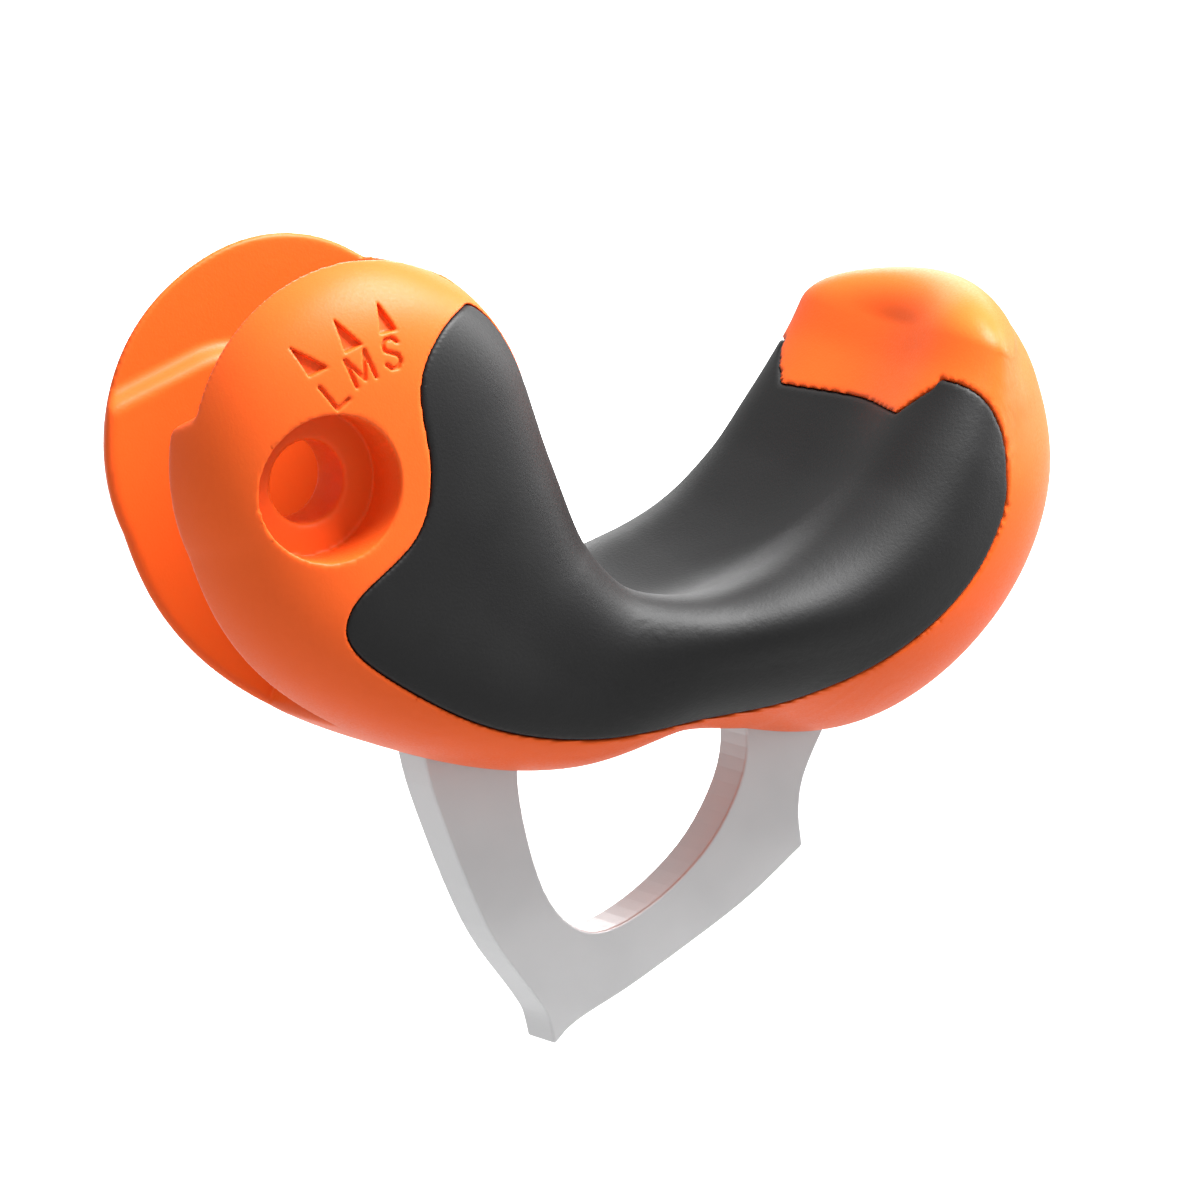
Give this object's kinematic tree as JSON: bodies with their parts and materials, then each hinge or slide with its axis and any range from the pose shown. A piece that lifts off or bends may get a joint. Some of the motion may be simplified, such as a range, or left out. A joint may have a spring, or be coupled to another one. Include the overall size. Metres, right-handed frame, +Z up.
{
  "type": "adjustable hand rest",
  "caption": "Curved hand rest with forked clamping end, soft overmoulded seat, stepped index shoulder and steel spike plate with carabiner eye.",
  "frame": {"origin": "on the clamp bolt's axis, midway between the two cheeks", "axes": "+Y along the bolt from its head to its nut, +X from the bolt towards the free end of the rest, +Z up out of the seat, the spike pointing down"},
  "size_m": [0.0806, 0.0356, 0.0657],
  "materials": {
    "orange_nylon": "fine moulded satin",
    "black_elastomer": "fine grained matte",
    "plate_steel": "fine blasted satin",
    "nut_steel": "zinc plated"
  },
  "bodies": {
    "root": {"grip_body": "orange_nylon", "grip_overlay": "black_elastomer", "spike_plate": "plate_steel", "clamp_nut": "nut_steel"}
  },
  "joints": []
}
